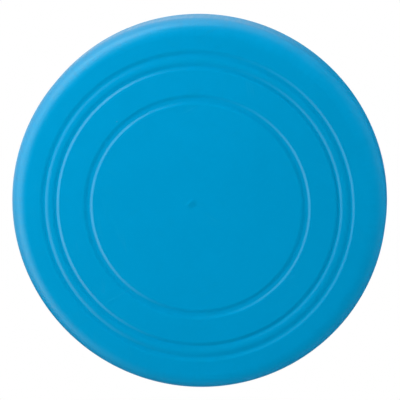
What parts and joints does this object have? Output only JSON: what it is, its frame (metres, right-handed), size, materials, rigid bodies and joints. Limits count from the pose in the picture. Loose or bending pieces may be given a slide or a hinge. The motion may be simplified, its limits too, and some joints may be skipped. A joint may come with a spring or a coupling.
{
  "type": "flying disc",
  "caption": "Round one-piece plastic flying disc: a thin flat-topped plate with a rounded shoulder and a deep turned-down rim, open underneath, with ring grooves in the top.",
  "frame": {"origin": "on the disc's axis, in the plane that the rim's lower edge rests on", "axes": "+Z along the disc's axis, out of the grooved top; +X and +Y are any two square radii, as the disc is round"},
  "size_m": [0.23, 0.23, 0.03],
  "materials": {
    "disc_plastic": "sky-blue polypropylene, satin moulded surface with a soft sheen"
  },
  "bodies": {
    "root": {"disc": "disc_plastic"}
  },
  "joints": []
}
